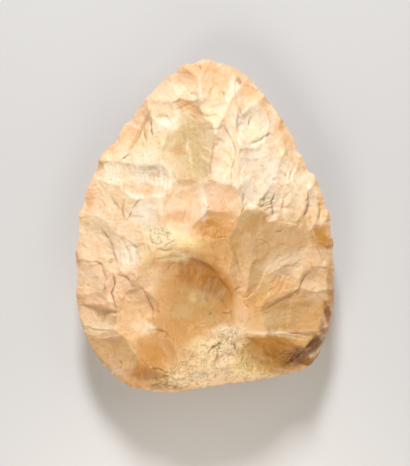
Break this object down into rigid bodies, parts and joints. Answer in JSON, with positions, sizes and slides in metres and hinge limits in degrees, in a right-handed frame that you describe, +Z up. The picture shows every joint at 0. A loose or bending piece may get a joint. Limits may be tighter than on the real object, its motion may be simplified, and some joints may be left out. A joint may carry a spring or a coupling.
{
  "type": "stone hand axe",
  "caption": "Broad heart-shaped flint hand axe, knapped on both faces to a sinuous edge, with a rounded tip and a thick butt that keeps chalky cortex.",
  "frame": {"origin": "on the ground under the middle of the bounding box, with the stone lying on its back face", "axes": "+Y from the butt to the tip, +X across the blade, +Z up out of the front face"},
  "size_m": [0.1162, 0.15, 0.0383],
  "materials": {
    "flint": "waxy satin flint, patinated cream to ochre, with matt chalky cortex at the butt"
  },
  "bodies": {
    "root": {"hand_axe": "flint"}
  },
  "joints": []
}
